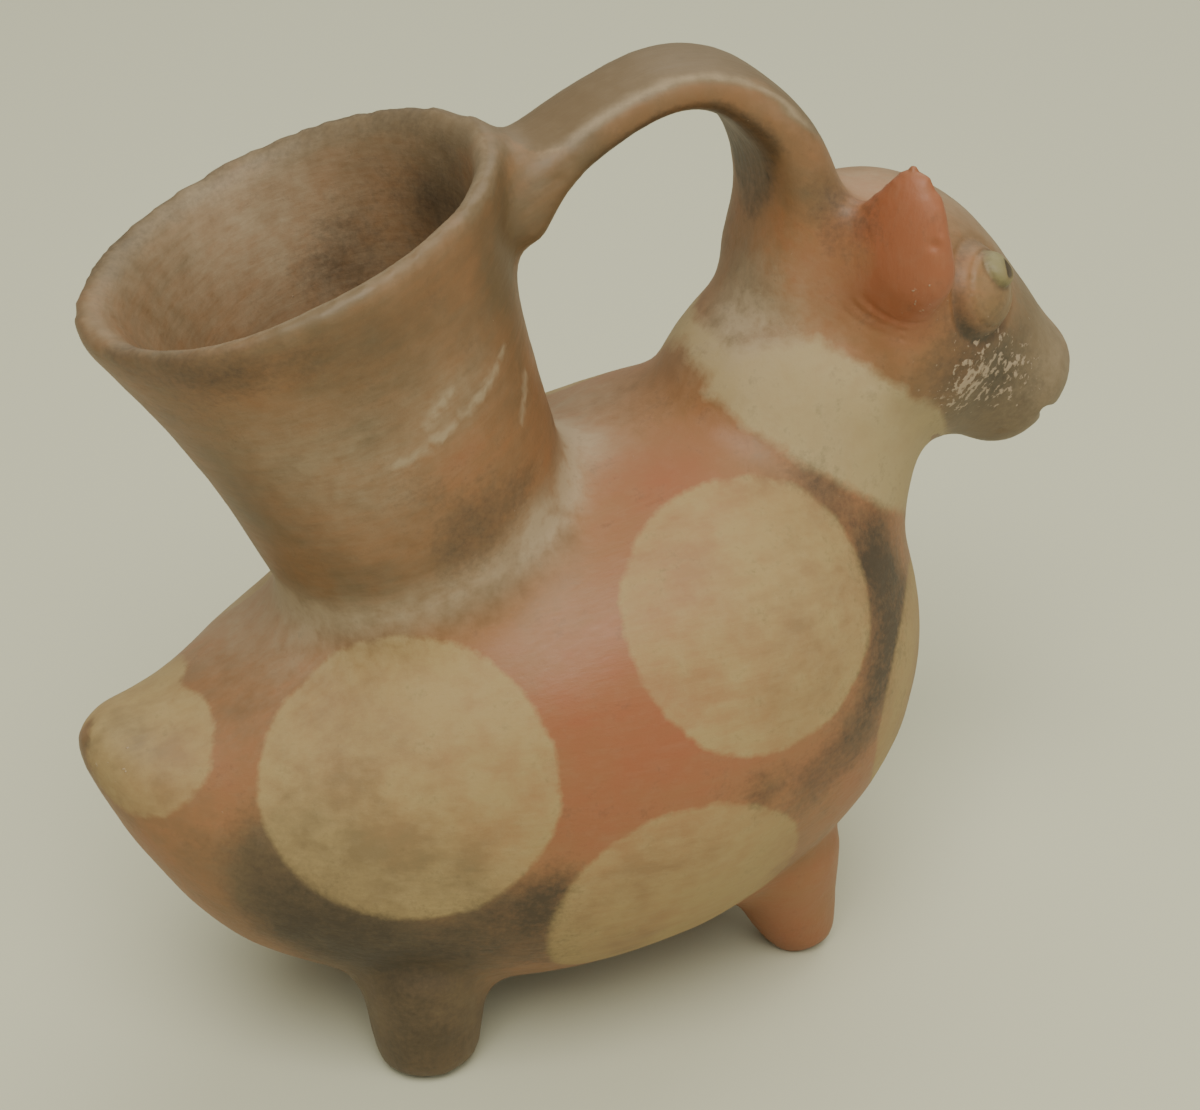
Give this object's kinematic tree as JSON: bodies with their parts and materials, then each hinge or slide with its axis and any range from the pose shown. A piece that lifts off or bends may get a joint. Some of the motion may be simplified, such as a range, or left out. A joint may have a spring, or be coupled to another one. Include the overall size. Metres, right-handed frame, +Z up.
{
  "type": "effigy bottle",
  "caption": "Hollow fired-clay bottle shaped as a standing animal, with a flared spout leaning back over its rump, a strap handle from lip to head, stub legs and cream slip discs on red slip",
  "frame": {"origin": "on the ground the feet stand on, under the middle of the bottle's bounding box", "axes": "+X towards the head, +Y to the animal's left, +Z up"},
  "size_m": [0.1868, 0.097, 0.1736],
  "materials": {
    "effigy_bottle": "burnished red-brown slip with cream slip discs and collar, worn and stained"
  },
  "bodies": {
    "root": {"effigy_bottle": "effigy_bottle"}
  },
  "joints": []
}
